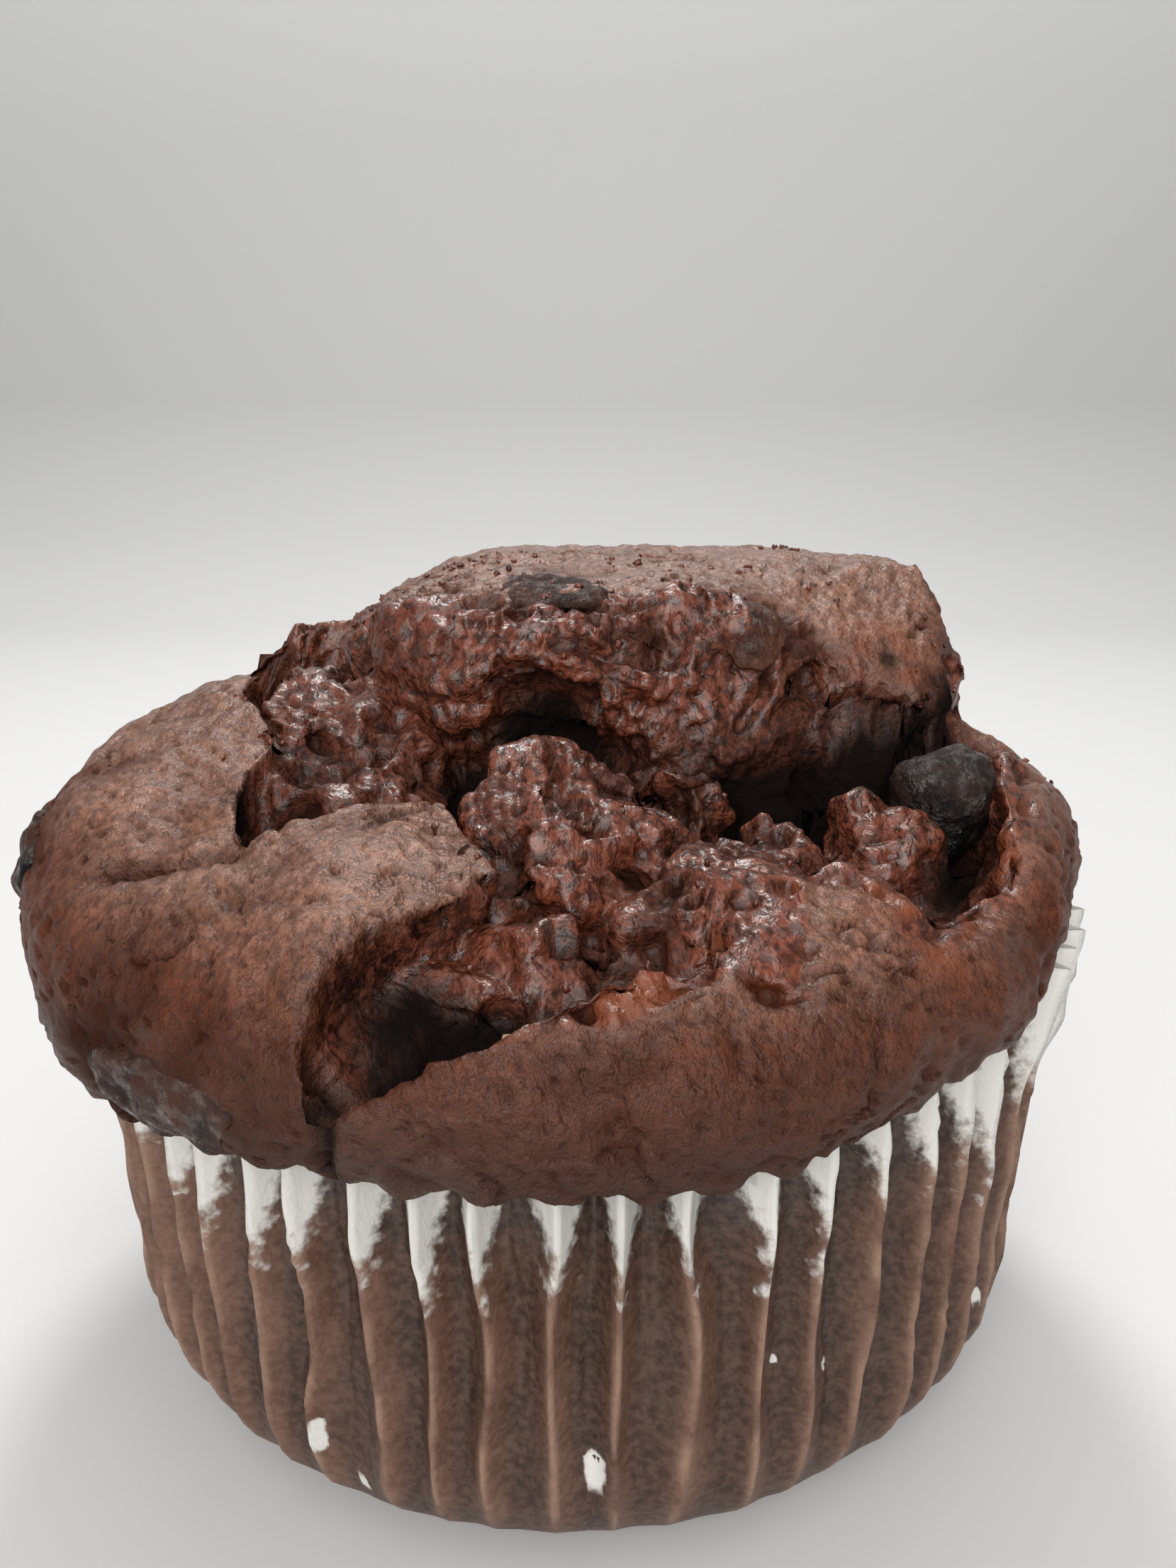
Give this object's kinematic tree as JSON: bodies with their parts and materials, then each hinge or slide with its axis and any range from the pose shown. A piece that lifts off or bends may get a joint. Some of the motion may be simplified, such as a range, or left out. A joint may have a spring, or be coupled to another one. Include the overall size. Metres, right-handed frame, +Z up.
{
  "type": "muffin in a paper case",
  "caption": "Large double chocolate muffin in a pleated paper case, with a mushroomed, torn-open crown, a raised rear block and chocolate chunks.",
  "frame": {"origin": "centre of the underside of the paper case, on the surface it stands on", "axes": "+Z up; -Y towards the open front crack in the crown; +X to the right of a viewer who faces the crack"},
  "size_m": [0.0887, 0.0879, 0.066],
  "materials": {
    "case_paper": "thin greaseproof paper, matt, stained brown by the cake, white at the upper folds",
    "cake_crumb": "dull brown crust with a faint sheen, moist dark red-brown crumb where torn",
    "chocolate": "dark chocolate, soft sheen"
  },
  "bodies": {
    "root": {"paper_case": "case_paper", "cake": "cake_crumb", "chocolate_chunk_1": "chocolate", "chocolate_chunk_2": "chocolate", "chocolate_chunk_3": "chocolate", "chocolate_chunk_4": "chocolate", "chocolate_chunk_5": "chocolate"}
  },
  "joints": []
}
